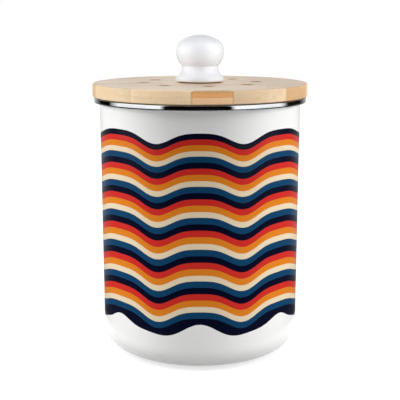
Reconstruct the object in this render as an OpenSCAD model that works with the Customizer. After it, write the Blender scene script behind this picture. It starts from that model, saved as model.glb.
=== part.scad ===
// Enamelled steel caddy with a lift-off laminated wood lid, a ceramic knob and a
// twist-off charcoal filter holder. Millimetres. The origin is the middle of the face
// that it stands on, +Z is up, and the front is towards -Y.

/* [Canister] */
// Outside diameter of the steel can just under its rim
can_d = 154.1; // [146:0.1:166]
// Outside diameter of the can just above its bottom corner
can_base_d = 152.4; // [146:0.1:160]
// Height of the steel can, from its foot to the top of its flange
can_h = 196.1; // [150:0.1:240]
// Thickness of the sheet steel with its enamel
wall = 1.1; // [0.8:0.1:1.6]
// Outside radius of the bottom corner
corner_r = 18; // [10:0.5:24]
// Width of the flat ring that the can's weight goes through
foot_w = 8.2; // [4:0.1:12]
// Radius inside the two bends between foot and base panel
step_bend = 0.6; // [0.4:0.1:1]
// Height of the upright between those bends
step_rise = 0.3; // [0.1:0.1:1.5]

/* [Rim] */
// Width of the flange's flat top, between its two bends
flange_flat = 0.75; // [0.3:0.05:3]
// Height of the band
rim_h = 4.3; // [4.2:0.1:7]
// Thickness of the band
band_t = 0.45; // [0.3:0.05:0.7]
// Outside radius of the band's top edge
band_edge = 1.2; // [0.8:0.1:2.4]
// Outside radius of the band's bottom edge
hem_r = 1.2; // [0.9:0.1:1.5]
// How far the band turns in under the lip
hem_in = 1; // [0.4:0.1:1.4]
// Radius inside the bend where the wall turns out into the flange
mouth_bend = 1.2; // [0.8:0.1:1.6]
// Outside radius of the bend where the flange turns down into the lip
lip_bend = 2; // [1.7:0.1:2.4]
// How far the band wraps down into the mouth, in degrees
band_wrap = 50; // [20:1:55]

/* [Base pad] */
// How far the pad stands below the can's foot
pad_proud = 0.6; // [0.3:0.1:2]
// Gap between the pad's edge and the step round it
pad_clear = 0.6; // [0.3:0.1:2]
// Chamfer round the pad's bottom edge
pad_chamfer = 0.5; // [0.2:0.1:0.9]
// Rings moulded into the pad's underside
pad_grooves = 3; // [1:1:5]
// Width of each ring
pad_groove_w = 1.6; // [0.8:0.1:3]
// Depth of each ring
pad_groove_t = 0.6; // [0.3:0.1:1]

/* [Lid board] */
// How far the board stands out past the rim band
overhang = 1; // [0.5:0.1:4]
// Thickness of the board
board_t = 10; // [8:0.5:16]
// Radius of the board's top edge
edge_top_r = 1.2; // [0.5:0.1:3]
// Radius of the board's bottom edge
edge_low_r = 0.8; // [0.3:0.1:2]
// Gap between the rim band and the board
seat_gap = 0.3; // [0.2:0.05:0.5]
// Number of vent holes
vent_n = 8; // [6:1:10]
// Diameter of each vent hole
vent_d = 10; // [7:0.5:12]
// Diameter of the circle that the vents lie on
vent_ring_d = 87; // [80:0.5:90]
// How far the board is turned from having a vent at +X, in degrees
vent_turn = 8.3; // [0:0.1:45]
// Chamfer at both ends of each vent
vent_chamfer = 0.4; // [0.2:0.1:1]

/* [Knob] */
// Widest diameter of the knob's head
knob_d = 36.8; // [32:0.1:42]
// Diameter of the knob's foot
knob_foot_d = 36.8; // [34:0.1:42]
// Diameter of the knob's neck
neck_d = 28.1; // [24:0.1:30]
// Height of the neck above the knob's underside
neck_h = 11; // [10.5:0.1:13]
// Length of the neck's straight side
neck_len = 0.3; // [0.2:0.1:3]
// Height of the foot's widest line above the knob's underside
foot_line_h = 1.5; // [1.5:0.1:2.5]
// Radius over the top of the foot
foot_round = 4.3; // [3:0.1:5.5]
// Radius under the foot's edge
foot_edge = 1.4; // [0.6:0.1:1.5]
// Radius under the head
head_under_r = 14.7; // [13:0.1:16]
// Radius round the head's upper edge
head_edge_r = 9.2; // [7:0.1:9.5]
// Length of the straight side between those two radii
head_side = 1; // [0.2:0.1:2]
// How far the crown rises above the round at the head's edge
crown_rise = 2.7; // [0.8:0.1:4]
// Fillet between neck and head
neck_fillet = 1.4; // [0.8:0.1:3]

/* [Knob fixing] */
// Thread diameter of the machine screw
bolt_d = 5; // [4:0.5:6]
// Diameter of the screw's pan head
bolt_head_d = 9.5; // [8.5:0.1:11]
// Height of the screw's head
bolt_head_h = 3; // [2:0.1:3.4]
// How far the screw reaches into the knob
bolt_reach = 11; // [8:0.5:13]
// Width of the cross recess's arms
drive_w = 1.3; // [0.8:0.1:1.6]
// Diameter of the threaded insert
insert_d = 8.6; // [8:0.1:10]
// Length of the threaded insert
insert_h = 14; // [12:0.5:17]
// Diameter of the insert's flange
insert_flange_d = 11; // [10.5:0.1:13]
// Thickness of that flange
insert_flange_t = 1.1; // [0.8:0.1:2]
// Diameter of the gasket under the knob
gasket_d = 31; // [26:0.5:32]
// Thickness of the gasket
gasket_t = 0.8; // [0.5:0.1:1.5]
// Diameter of the steel washer under the board
washer_d = 15; // [12:0.5:18]
// Thickness of the washer
washer_t = 1; // [0.6:0.1:1.2]

/* [Filter holder] */
// Depth of the holder below the board
holder_h = 20; // [19:0.1:24]
// Thickness of its wall
holder_wall = 2.4; // [1.8:0.1:3]
// How far its top flange stands out from its wall
flange_w = 4.2; // [3:0.1:4.5]
// Thickness of its top flange
flange_t = 2; // [1.4:0.1:3]
// Height of the air space between the board and the shelf
plenum_h = 5; // [4.8:0.1:6]
// Thickness of the shelf
shelf_t = 1.6; // [1.2:0.1:2.2]
// Thickness of the lip round the shelf's opening
shelf_lip = 1.6; // [1.2:0.1:2.5]
// Width left between the vents and that lip
vent_margin = 2.5; // [1:0.1:3.5]
// Number of stiffening ribs between the lip and the wall
rib_n = 12; // [6:1:16]
// Thickness of every rib
rib_t = 1.4; // [1:0.1:2]
// Height of the rib that keeps the seal up
seal_rib_h = 1.6; // [1:0.1:2]
// How far that rib stands out
seal_rib_w = 2.2; // [1.2:0.1:3]

/* [Holder screws] */
// Number of wood screws
screw_n = 4; // [3:1:6]
// Diameter of the screws
screw_d = 3; // [2.5:0.1:3.5]
// Length of the screws
screw_l = 12; // [10:0.5:13]
// Diameter of the countersunk heads
screw_head_d = 5.8; // [5:0.1:6.2]
// Outside diameter of the pillars that they go through
pillar_d = 8.6; // [8:0.1:10]

/* [Seal] */
// Height of the seal
seal_h = 10.8; // [9:0.1:11.5]
// Thickness of the seal's sleeve
seal_t = 2.2; // [1.5:0.1:2.6]
// Radial size of the seal, from sleeve to fin tips
seal_w = 5.5; // [5:0.1:6.5]
// Number of fins
fin_n = 3; // [2:1:4]
// Thickness of a fin at its root
fin_root = 1.5; // [1.1:0.1:1.8]
// Thickness of a fin at its tip
fin_tip = 0.7; // [0.4:0.1:1]
// How far a fin's tip stands above its root
fin_rise = 0.9; // [0:0.1:1.2]
// Gap between the fin tips and the can
mouth_clear = 0.35; // [0.3:0.05:0.6]

/* [Charcoal pad] */
// How far the felt pad's edge stays in from the holder's ledges
felt_edge = 0.7; // [0.5:0.1:4]
// Gap above and below the felt pad
felt_clear = 0.2; // [0.2:0.05:0.4]

/* [Filter cover] */
// Thickness of the cover's plate and lugs
cover_t = 2; // [1.6:0.1:2.6]
// Thickness of the holder's ledges
ledge_t = 1.8; // [1.4:0.1:2.4]
// How far the ledges stand in from the holder's wall
ledge_w = 3.4; // [2.6:0.1:4]
// Number of lugs
lug_n = 3; // [3:1:4]
// Angle that each lug takes
lug_arc = 28; // [16:1:28]
// Angle that the lugs turn past the ends of the ledges, to come free
turn_past = 3; // [2:1:6]
// Gap round the cover
cover_clear = 0.3; // [0.3:0.05:0.5]
// Gap between lugs and ledges
lug_clear = 0.2; // [0.2:0.05:0.4]
// Number of slots in each ring of the grille
slot_n = 12; // [8:1:16]
// Rings of slots
slot_rings = 4; // [3:1:5]
// Width of the bars between the slots
bar_w = 3; // [2:0.1:3.5]
// Diameter of the plain middle
hub_d = 26; // [20:0.5:32]
// Width of the plain edge
cover_edge = 4.4; // [3.5:0.1:6]
// Length of the finger grip
grip_l = 56; // [40:1:70]
// Thickness of the finger grip
grip_t = 4; // [3:0.1:6]
// Height of the finger grip
grip_h = 7; // [5:0.5:10]
// Height of the rib round the cover's edge
edge_rib_h = 2; // [1:0.1:3]

/* [Hidden] */
$fn = 96;

// Sections are made of stretches that meet at their ends, so worked-out places are
// taken to a thousandth of a millimetre
function mm(x) = round(x * 1000) / 1000;

// Clearances of parts that are fixed to each other
band_fit = 0.05;
bolt_clear = 0.25;
thread_fit = 0.03;
seal_fit = 0.1;

// The can, from the foot up
can_r = can_d / 2;
base_r = can_base_d / 2;
foot_z = pad_proud;
flange_z = foot_z + can_h;
mouth_r = can_r - wall;
corner = [base_r - corner_r, foot_z + corner_r];
mouth = [can_r + mouth_bend, flange_z - wall - mouth_bend];
lip = [mouth[0] + flange_flat, flange_z - lip_bend];
lip_r = lip[0] + lip_bend;

// The step up to the base panel is two equal bends with a short upright between them
foot_in_r = corner[0] - foot_w;
panel_z = foot_z + wall + 2 * step_bend + step_rise;
step_low = [foot_in_r, foot_z + wall + step_bend];
step_high = [foot_in_r - 2 * step_bend - wall, panel_z - step_bend];

// The rim band, round the flange
rim_r = lip_r + band_fit + band_t;
rim_z = flange_z + band_fit + band_t;
brow = [rim_r - band_edge, rim_z - band_edge];
hem = [rim_r - hem_r, rim_z - rim_h + hem_r];

// The board and what hangs under it
board_z = rim_z + seat_gap;
board_r = rim_r + overhang;
top_z = board_z + board_t;
vent_ring_r = vent_ring_d / 2;

// The knob, on its gasket
knob_z = top_z + gasket_t;
knob_r = knob_d / 2;
foot_r = knob_foot_d / 2;
neck_r = neck_d / 2;
foot_c = [foot_r - foot_round, foot_line_h];
// The sweep from foot to neck is a circle that touches the foot's round
sweep_dx = neck_r - foot_c[0];
sweep_dz = neck_h - foot_c[1];
sweep_r = mm((sweep_dx ^ 2 + sweep_dz ^ 2 - foot_round ^ 2) / (2 * (foot_round - sweep_dx)));
sweep_c = [neck_r + sweep_r, neck_h];
sweep_a = atan2(sweep_c[1] - foot_c[1], sweep_c[0] - foot_c[0]);
sweep_low = foot_c + [mm(foot_round * cos(sweep_a)), mm(foot_round * sin(sweep_a))];
// The fillet at the neck touches the arc under the head
fillet_x = neck_r + neck_fillet;
fillet_z = neck_h + neck_len;
under_x = knob_r - head_under_r;
head_line_h = mm(fillet_z + sqrt((head_under_r + neck_fillet) ^ 2 - (fillet_x - under_x) ^ 2));
under_c = [under_x, head_line_h];
fillet_a = atan2(under_c[1] - fillet_z, under_c[0] - fillet_x);
fillet_high = [mm(fillet_x + neck_fillet * cos(fillet_a)), mm(fillet_z + neck_fillet * sin(fillet_a))];
// The crown is a circle on the axis that touches the arc round the head's edge
edge_c = [knob_r - head_edge_r, head_line_h + head_side];
crown_dz = head_edge_r + crown_rise;
crown_r = mm((edge_c[0] ^ 2 + crown_dz ^ 2 - head_edge_r ^ 2) / (2 * crown_rise));
knob_h = edge_c[1] + crown_dz;
crown_z = knob_h - crown_r;
crown_low = mm(edge_c[1] + head_edge_r * sin(atan2(edge_c[1] - crown_z, edge_c[0])));

// The filter holder, downwards from the board
seal_out_r = mouth_r - mouth_clear;
holder_r = seal_out_r - seal_w - seal_fit;
pocket_r = holder_r - holder_wall;
shelf_r = vent_ring_r + vent_d / 2 + vent_margin;
shelf_low = plenum_h + shelf_t;
ledge_top = holder_h - ledge_t;
cover_low = ledge_top - lug_clear;
cover_top = cover_low - cover_t;
felt_h = cover_top - shelf_low - 2 * felt_clear;
ledge_r = pocket_r - ledge_w;
felt_r = ledge_r - felt_edge;
cover_r = ledge_r - cover_clear;
lug_r = pocket_r - cover_clear;
pillar_r = (shelf_r + shelf_lip + pocket_r) / 2;
cover_turn = lug_arc + turn_past;
gap_arc = lug_arc + 2;
stop_arc = 1.6;
stop_clear = 1;

module ring_sector(r_in, r_out, a_from, a_to) {
    // Part of a flat ring between two angles
    reach = r_out * 1.4;
    steps = 8;
    intersection() {
        difference() {
            circle(r_out);
            circle(r_in);
        }
        polygon(concat([[0, 0]],
            [for (i = [0:steps]) let (a = a_from + (a_to - a_from) * i / steps) reach * [cos(a), sin(a)]]));
    }
}

module bend(centre, r_in, r_out, a_from, a_to) {
    // A bend in a sheet, seen in section
    translate(centre) ring_sector(r_in, r_out, a_from, a_to);
}

module span(x_from, x_to, z_from, z_to) {
    // A flat or upright stretch of a section
    translate([x_from, z_from]) square([x_to - x_from, z_to - z_from]);
}

module around(n, radius = 0, first = 0) {
    // Copies evenly round the axis
    for (i = [0:n - 1]) rotate([0, 0, first + i * 360 / n]) translate([radius, 0, 0]) children();
}

module tube(r_in, r_out, h) {
    difference() {
        cylinder(r = r_out, h = h);
        translate([0, 0, -1]) cylinder(r = r_in, h = h + 2);
    }
}

module canister_shell() {
    color("white") rotate_extrude() {
        span(0, step_high[0], panel_z, panel_z + wall);
        bend(step_high, step_bend, step_bend + wall, 0, 90);
        span(step_high[0] + step_bend, step_low[0] - step_bend, step_low[1], step_high[1]);
        bend(step_low, step_bend, step_bend + wall, 180, 270);
        span(foot_in_r, corner[0], foot_z, foot_z + wall);
        bend(corner, corner_r - wall, corner_r, -90, 0);
        polygon([[base_r - wall, corner[1]], [base_r, corner[1]], [can_r, mouth[1]], [mouth_r, mouth[1]]]);
        bend(mouth, mouth_bend, mouth_bend + wall, 90, 180);
        span(mouth[0], lip[0], flange_z - wall, flange_z);
        bend(lip, lip_bend - wall, lip_bend, 0, 90);
        span(lip_r - wall, lip_r, hem[1], lip[1]);
    }
}

module rim_band() {
    mouth_in = mouth_bend + wall + band_fit;
    color("silver") rotate_extrude() {
        bend(mouth, mouth_in, mouth_in + band_t, 90, 90 + band_wrap);
        span(mouth[0], brow[0], rim_z - band_t, rim_z);
        bend(brow, band_edge - band_t, band_edge, 0, 90);
        span(rim_r - band_t, rim_r, hem[1], brow[1]);
        bend(hem, hem_r - band_t, hem_r, -90, 0);
        span(hem[0] - hem_in, hem[0], hem[1] - hem_r, hem[1] - hem_r + band_t);
    }
}

module base_pad() {
    pad_r = step_high[0] - pad_clear;
    pitch = pad_r / (pad_grooves + 1);
    color("dimgray") difference() {
        union() {
            cylinder(r1 = pad_r - pad_chamfer, r2 = pad_r, h = pad_chamfer);
            translate([0, 0, pad_chamfer]) cylinder(r = pad_r, h = panel_z - pad_chamfer);
        }
        for (i = [1:pad_grooves])
            translate([0, 0, -1]) tube(i * pitch, i * pitch + pad_groove_w, 1 + pad_groove_t);
    }
}

module vent() {
    // One vent, with a chamfer at both ends
    r = vent_d / 2;
    translate([0, 0, board_z - 1]) cylinder(r = r, h = board_t + 2);
    translate([0, 0, board_z - 1]) cylinder(r1 = r + vent_chamfer + 1, r2 = r, h = vent_chamfer + 1);
    translate([0, 0, top_z - vent_chamfer]) cylinder(r1 = r, r2 = r + vent_chamfer + 1, h = vent_chamfer + 1);
}

module lid_board() {
    color("burlywood") difference() {
        rotate_extrude() {
            span(0, board_r - edge_top_r, board_z, top_z);
            span(board_r - edge_low_r, board_r, board_z + edge_low_r, top_z - edge_top_r);
            span(board_r - edge_top_r, board_r - edge_low_r, board_z, top_z - edge_top_r);
            translate([board_r - edge_top_r, top_z - edge_top_r]) circle(edge_top_r);
            translate([board_r - edge_low_r, board_z + edge_low_r]) circle(edge_low_r);
        }
        around(vent_n, vent_ring_r, vent_turn) vent();
        translate([0, 0, board_z - 1]) cylinder(d = bolt_d + 2 * bolt_clear, h = board_t + 2);
        around(screw_n, pillar_r) translate([0, 0, board_z - 1])
            cylinder(d = screw_d + 2 * thread_fit, h = screw_l - shelf_low + 1 + thread_fit);
    }
}

module disc_band(centre, r, z_from, z_to) {
    // What lies inside a rounded rim of radius r, between two heights
    intersection() {
        union() {
            span(0, centre[0], centre[1] - r, centre[1] + r);
            translate(centre) circle(r);
        }
        span(0, centre[0] + r, z_from, z_to);
    }
}

module knob_section() {
    // Half of the knob's outline, from its underside up
    disc_band([foot_r - foot_edge, foot_edge], foot_edge, 0, foot_edge);
    span(0, foot_r, foot_edge, foot_line_h);
    disc_band(foot_c, foot_round, foot_line_h, sweep_low[1]);
    difference() {
        span(0, sweep_low[0], sweep_low[1], neck_h);
        translate(sweep_c) circle(sweep_r);
    }
    span(0, neck_r, neck_h, fillet_z);
    difference() {
        span(0, fillet_high[0], fillet_z, fillet_high[1]);
        translate([fillet_x, fillet_z]) circle(neck_fillet);
    }
    disc_band(under_c, head_under_r, fillet_high[1], head_line_h);
    span(0, knob_r, head_line_h, edge_c[1]);
    disc_band(edge_c, head_edge_r, edge_c[1], crown_low);
    intersection() {
        translate([0, crown_z]) circle(crown_r);
        span(0, knob_r, crown_low, knob_h);
    }
}

module knob() {
    insert_r = insert_d / 2 + thread_fit;
    flange_r = insert_flange_d / 2 + thread_fit;
    color("whitesmoke") translate([0, 0, knob_z]) difference() {
        rotate_extrude() knob_section();
        translate([0, 0, -1]) cylinder(r = insert_r, h = insert_h + 1 + thread_fit);
        translate([0, 0, -1]) cylinder(r = flange_r, h = 1 + insert_flange_t + thread_fit);
    }
}

module knob_insert() {
    color("goldenrod") translate([0, 0, knob_z]) difference() {
        union() {
            cylinder(d = insert_flange_d, h = insert_flange_t);
            cylinder(d = insert_d, h = insert_h);
        }
        translate([0, 0, -1]) cylinder(d = bolt_d + 2 * thread_fit, h = bolt_reach + 2);
    }
}

module knob_gasket() {
    color("saddlebrown") translate([0, 0, top_z])
        tube(bolt_d / 2 + bolt_clear, gasket_d / 2, gasket_t);
}

module knob_bolt() {
    head_z = board_z - washer_t - bolt_head_h;
    head_round = bolt_head_h * 0.6;
    head_r = bolt_head_d / 2;
    color("gray") difference() {
        union() {
            translate([0, 0, head_z]) rotate_extrude() {
                span(0, head_r - head_round, 0, bolt_head_h);
                span(head_r - head_round, head_r, head_round, bolt_head_h);
                intersection() {
                    translate([head_r - head_round, head_round]) circle(head_round);
                    span(0, head_r, 0, head_round);
                }
            }
            translate([0, 0, head_z + bolt_head_h])
                cylinder(d = bolt_d, h = washer_t + board_t + gasket_t + bolt_reach);
        }
        cross_recess(head_z, bolt_head_d * 0.5, bolt_head_h * 0.55);
    }
}

module cross_recess(z, length, depth) {
    // A cross-shaped driver recess, cut upwards from z
    for (turn = [0, 90]) rotate([0, 0, turn])
        translate([-length / 2, -drive_w / 2, z - 1]) cube([length, drive_w, depth + 1]);
}

module knob_washer() {
    color("lightgray") translate([0, 0, board_z - washer_t])
        tube(bolt_d / 2 + bolt_clear, washer_d / 2, washer_t);
}

module wood_screw() {
    // A countersunk screw, its head down and flush with the shelf's underside
    head_h = (screw_head_d - screw_d) / 2;
    point_h = screw_d;
    translate([0, 0, board_z - shelf_low]) difference() {
        union() {
            cylinder(d1 = screw_head_d, d2 = screw_d, h = head_h);
            cylinder(d = screw_d, h = screw_l - point_h);
            translate([0, 0, screw_l - point_h]) cylinder(d1 = screw_d, d2 = screw_d * 0.2, h = point_h);
        }
        cross_recess(0, screw_head_d * 0.6, head_h);
    }
}

module housing_screws() {
    color("gray") around(screw_n, pillar_r) wood_screw();
}

module screw_hole() {
    // Clearance for one screw and its countersunk head
    head_h = (screw_head_d - screw_d) / 2;
    translate([0, 0, board_z - shelf_low - 1]) {
        cylinder(d = screw_d + 2 * bolt_clear, h = shelf_low + 2);
        cylinder(d1 = screw_head_d + 2 + 2 * thread_fit, d2 = screw_d + 2 * thread_fit, h = head_h + 1);
    }
}

module arc_block(r_in, r_out, a_from, a_to, h) {
    linear_extrude(h) ring_sector(r_in, r_out, a_from, a_to);
}

module filter_housing() {
    lip_out_r = shelf_r + shelf_lip;
    seal_low = flange_t + seal_h + 2 * seal_fit;
    felt_stop_r = felt_r + 2 * felt_clear;
    root_r = pocket_r + holder_wall / 2;
    gap_to = cover_turn + gap_arc / 2;
    ledge_arc = 360 / lug_n - gap_arc;
    color("ivory") difference() {
        translate([0, 0, board_z]) mirror([0, 0, 1]) {
            rotate_extrude() {
                span(pocket_r, holder_r, 0, holder_h);
                span(holder_r, holder_r + flange_w, 0, flange_t);
                span(holder_r, holder_r + seal_rib_w, seal_low, seal_low + seal_rib_h);
                span(shelf_r, pocket_r, plenum_h, shelf_low);
                span(shelf_r, lip_out_r, 0, plenum_h);
            }
            around(screw_n, pillar_r) cylinder(d = pillar_d, h = plenum_h);
            around(rib_n, 0, 180 / rib_n) translate([lip_out_r - shelf_lip / 2, -rib_t / 2, seat_gap])
                cube([pocket_r - lip_out_r + shelf_lip, rib_t, plenum_h - seat_gap + shelf_t / 2]);
            around(rib_n, 0, 180 / rib_n) translate([felt_stop_r, -rib_t / 2, plenum_h + shelf_t / 2])
                cube([root_r - felt_stop_r, rib_t, cover_top - felt_clear - plenum_h - shelf_t / 2]);
        }
        around(screw_n, pillar_r) screw_hole();
    }
    color("ivory") around(lug_n) translate([0, 0, board_z - holder_h]) {
        arc_block(ledge_r, root_r, gap_to, gap_to + ledge_arc, ledge_t);
        // Stops at both ends of the lug's travel
        for (from = [gap_to + stop_clear, -lug_arc / 2 - stop_clear - stop_arc])
            arc_block(ledge_r + cover_clear, root_r, from, from + stop_arc, holder_h - cover_top);
    }
}

module lid_seal() {
    pitch = seal_h / fin_n;
    color("gainsboro") translate([0, 0, board_z - flange_t - seal_fit]) mirror([0, 0, 1])
        rotate_extrude() translate([holder_r + seal_fit, 0]) {
            span(0, seal_t, 0, seal_h);
            for (i = [0:fin_n - 1]) translate([0, (i + 0.6) * pitch])
                polygon([[seal_t / 2, -fin_root / 2], [seal_w, -fin_tip / 2 - fin_rise],
                         [seal_w, fin_tip / 2 - fin_rise], [seal_t / 2, fin_root / 2]]);
        }
}

module charcoal_pad() {
    color("dimgray") translate([0, 0, board_z - shelf_low - felt_clear - felt_h])
        cylinder(r = felt_r, h = felt_h);
}

module grille() {
    // The cover's plate: rings of slots between a plain middle and a plain edge
    hub_r = hub_d / 2;
    pitch = (cover_r - cover_edge - hub_r) / slot_rings;
    linear_extrude(cover_t) difference() {
        circle(cover_r);
        for (ring = [0:slot_rings - 1], i = [0:slot_n - 1]) {
            r_in = hub_r + ring * pitch + bar_w / 2;
            r_out = hub_r + (ring + 1) * pitch - bar_w / 2;
            half = asin(bar_w / 2 / r_in);
            rotate(i * 360 / slot_n) ring_sector(r_in, r_out, half, 360 / slot_n - half);
        }
    }
}

module filter_cover() {
    color("ivory") translate([0, 0, board_z - cover_low]) {
        grille();
        around(lug_n) arc_block(cover_r - 1, lug_r, -lug_arc / 2, lug_arc / 2, cover_t);
        mirror([0, 0, 1]) tube(cover_r - cover_edge / 2, cover_r, edge_rib_h);
        translate([-grip_l / 2, -grip_t / 2, -grip_h]) cube([grip_l, grip_t, grip_h]);
        for (side = [-1, 1]) translate([side * grip_l / 2, 0, -grip_h]) cylinder(d = grip_t, h = grip_h);
    }
}

canister_shell();
rim_band();
base_pad();
lid_board();
knob();
knob_insert();
knob_gasket();
knob_bolt();
knob_washer();
filter_housing();
housing_screws();
lid_seal();
charcoal_pad();
filter_cover();
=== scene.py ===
import math
import bpy
import bmesh
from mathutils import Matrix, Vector, noise


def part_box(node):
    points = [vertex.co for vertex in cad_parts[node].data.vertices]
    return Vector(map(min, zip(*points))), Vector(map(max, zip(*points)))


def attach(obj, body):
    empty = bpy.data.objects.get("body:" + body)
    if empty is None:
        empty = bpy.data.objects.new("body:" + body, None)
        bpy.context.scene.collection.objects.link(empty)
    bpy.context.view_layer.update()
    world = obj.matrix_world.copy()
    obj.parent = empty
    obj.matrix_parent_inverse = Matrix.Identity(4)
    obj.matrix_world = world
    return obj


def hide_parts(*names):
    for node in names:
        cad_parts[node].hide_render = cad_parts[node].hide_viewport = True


# Dresses the enamelled caddy: camera and studio, its finishes, and the small soft and
# repeated pieces. Everything is in metres, in the frame of the solids: the can stands on
# the origin, with its front towards -Y.

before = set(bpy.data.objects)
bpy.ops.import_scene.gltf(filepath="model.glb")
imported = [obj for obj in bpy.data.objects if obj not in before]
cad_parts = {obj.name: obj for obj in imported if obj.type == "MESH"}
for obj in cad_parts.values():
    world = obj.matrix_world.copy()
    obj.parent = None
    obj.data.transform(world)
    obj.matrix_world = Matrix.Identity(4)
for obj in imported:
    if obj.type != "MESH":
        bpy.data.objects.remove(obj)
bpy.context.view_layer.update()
mm = 0.001
print("loaded", len(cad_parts), "solids")


def linear(hexColour):
    # sRGB hex to the linear colour that sockets hold
    channels = []
    for i in (1, 3, 5):
        c = int(hexColour[i:i + 2], 16) / 255
        channels.append(c / 12.92 if c <= 0.04045 else ((c + 0.055) / 1.055) ** 2.4)
    return (*channels, 1.0)


def node(tree, kind, inputs=None, spans=None, stops=None, points=None, **settings):
    # One node: inputs are plain values, other nodes' sockets, or nodes, which give their
    # first output in use. Spans are the ends of a Map Range, From and To, stops fill a
    # colour ramp, points fill a curve, and settings are the node's own properties
    made = tree.nodes.new(kind)
    for name, value in settings.items():
        setattr(made, name, value)
    for key, value in (inputs or {}).items():
        if isinstance(value, bpy.types.Node):
            value = next(socket for socket in value.outputs if socket.enabled)
        if isinstance(value, bpy.types.NodeSocket):
            tree.links.new(value, made.inputs[key])
        else:
            made.inputs[key].default_value = value
    for side, ends in (spans or {}).items():
        for end, value in zip((" Min", " Max"), ends):
            made.inputs[side + end].default_value = value
    if stops:
        ramp = made.color_ramp
        while len(ramp.elements) < len(stops):
            ramp.elements.new(0.5)
        for element, (place, colour) in zip(ramp.elements, stops):
            element.position = place
            element.color = linear(colour) if isinstance(colour, str) else (colour, colour, colour, 1)
    if points:
        curve = made.mapping.curves[0]
        while len(curve.points) < len(points):
            curve.points.new(0.5, 0.5)
        for point, place in zip(curve.points, points):
            point.location = place
        made.mapping.update()
    return made


def newMaterial(name):
    # A material with an empty tree, and the place on the piece that its patterns go by
    material = bpy.data.materials.new(name)
    material.use_nodes = True
    tree = material.node_tree
    tree.nodes.clear()
    return material, tree, node(tree, "ShaderNodeTexCoord").outputs["Object"]


def shadeSurface(material, tree, inputs):
    # Ends a material's tree with its shader
    shader = node(tree, "ShaderNodeBsdfPrincipled", inputs)
    node(tree, "ShaderNodeOutputMaterial", {"Surface": shader})
    return material


def azimuthAndHeight(tree, place):
    # The angle round the can's axis, from the front and to the right, and the height
    x, y, z = node(tree, "ShaderNodeSeparateXYZ", {0: place}).outputs
    front = node(tree, "ShaderNodeMath", {0: y, 1: -1.0}, operation="MULTIPLY")
    return node(tree, "ShaderNodeMath", {0: x, 1: front}, operation="ARCTAN2"), z


def distanceOut(tree, place):
    # The distance from the can's axis
    level = node(tree, "ShaderNodeVectorMath", {0: place, 1: (1, 1, 0)}, operation="MULTIPLY")
    return node(tree, "ShaderNodeVectorMath", {0: level}, operation="LENGTH")


def addObject(name, mesh, material=None):
    piece = bpy.data.objects.new(name, mesh)
    bpy.context.scene.collection.objects.link(piece)
    if material:
        mesh.materials.append(material)
    return piece


# Camera, floor and lamps

studio = {
    "cameraPlace": (0, -0.7528, 0.2606), "cameraDown": 10.94, "cameraNear": 0.01,
    # focal length and frame width in pixels, and the sensor's width in mm
    "focalLength": 973.5, "frameWidth": 400, "sensorWidth": 36,
    "floorRadius": 6.0, "floorSteps": 64, "floorZ": -0.1 * mm, "floorColour": "#B0B0B0",
    # brightness that the floor's lift has near the object and far from it, and how far
    "floorGlow": (0.66, 1.0), "glowReach": (0.25, 0.9),
    "ambient": 0.1,
    # azimuth from the front and to the right, elevation, distance, width, height, power,
    # height it aims at, and beam: 180 for a soft box, less for a spot
    "lamps": {
        "leftLamp": (-87, 18, 0.8, 0.56, 0.6, 8.0, 0.12, 180),
        "rightLamp": (82, 18, 0.8, 0.56, 0.6, 7.8, 0.12, 180),
        "frontLamp": (0, 60, 1.2, 0.5, 0.5, 3.5, 0.12, 180),
        "backLamp": (180, 16, 1.2, 0.6, 0.6, 8.0, 0.12, 180),
        "knobLamp": (0, 2, 1.0, 0.06, 0.06, 35.0, 0.231, 4.6),
        "lowLamp": (0, 3, 1.2, 0.1, 0.1, 16.0, 0.065, 12),
    },
    # what shiny surfaces see round them: distance and height of the ring's edges, then
    # brightness by azimuth
    "ringSteps": 96,
    "cardRing": ((0.9, 0.105), (0.9, 1.25)), "cardStrength": 1.4,
    "cardShades": ((-180, 0.6), (-164, 0.62), (-150, 0.4), (-136, 0.12), (-128, 0.0), (-108, 0.0),
                   (-92, 1.0), (-41, 1.0), (-36, 0.0), (31, 0.0), (36, 1.0), (92, 1.0),
                   (102, 0.0), (130, 0.0), (146, 0.26), (164, 0.5), (180, 0.6)),
    "tableRing": ((0.12, 0.001), (0.9, 0.001), (0.9, 0.105)), "tableStrength": 1.0,
    "tableShades": ((-180, 0.4), (-150, 0.3), (-112, 0.05), (-60, 0.05), (-40, 0.02), (40, 0.02),
                    (60, 0.05), (112, 0.05), (150, 0.3), (180, 0.4)),
}


def ringPlace(azimuth, distance, z):
    a = math.radians(azimuth)
    return Vector((math.sin(a) * distance, -math.cos(a) * distance, z))


def buildCamera():
    data = bpy.data.cameras.new("camera")
    data.lens = studio["focalLength"] / studio["frameWidth"] * studio["sensorWidth"]
    data.sensor_width = studio["sensorWidth"]
    data.clip_start = studio["cameraNear"]
    camera = bpy.data.objects.new("camera", data)
    camera.location = studio["cameraPlace"]
    camera.rotation_euler = (math.radians(90 - studio["cameraDown"]), 0, 0)
    bpy.context.scene.collection.objects.link(camera)
    bpy.context.scene.camera = camera


def buildLamp(name, azimuth, elevation, distance, width, height, power, aim, beam):
    # A soft box, or a spot if its beam is narrow, that faces the axis of the object
    softBox = beam == 180
    data = bpy.data.lights.new(name, "AREA" if softBox else "SPOT")
    data.energy = power
    if softBox:
        data.shape = "RECTANGLE"
        data.size, data.size_y = width, height
    else:
        data.spot_size, data.spot_blend = math.radians(beam), 1.0
        data.shadow_soft_size = width / 2
    up = math.radians(elevation)
    lamp = bpy.data.objects.new(name, data)
    lamp.location = ringPlace(azimuth, distance * math.cos(up), aim + distance * math.sin(up))
    lamp.rotation_euler = (math.pi / 2 - up, 0, math.radians(azimuth))
    lamp.visible_glossy = False
    bpy.context.scene.collection.objects.link(lamp)


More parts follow.
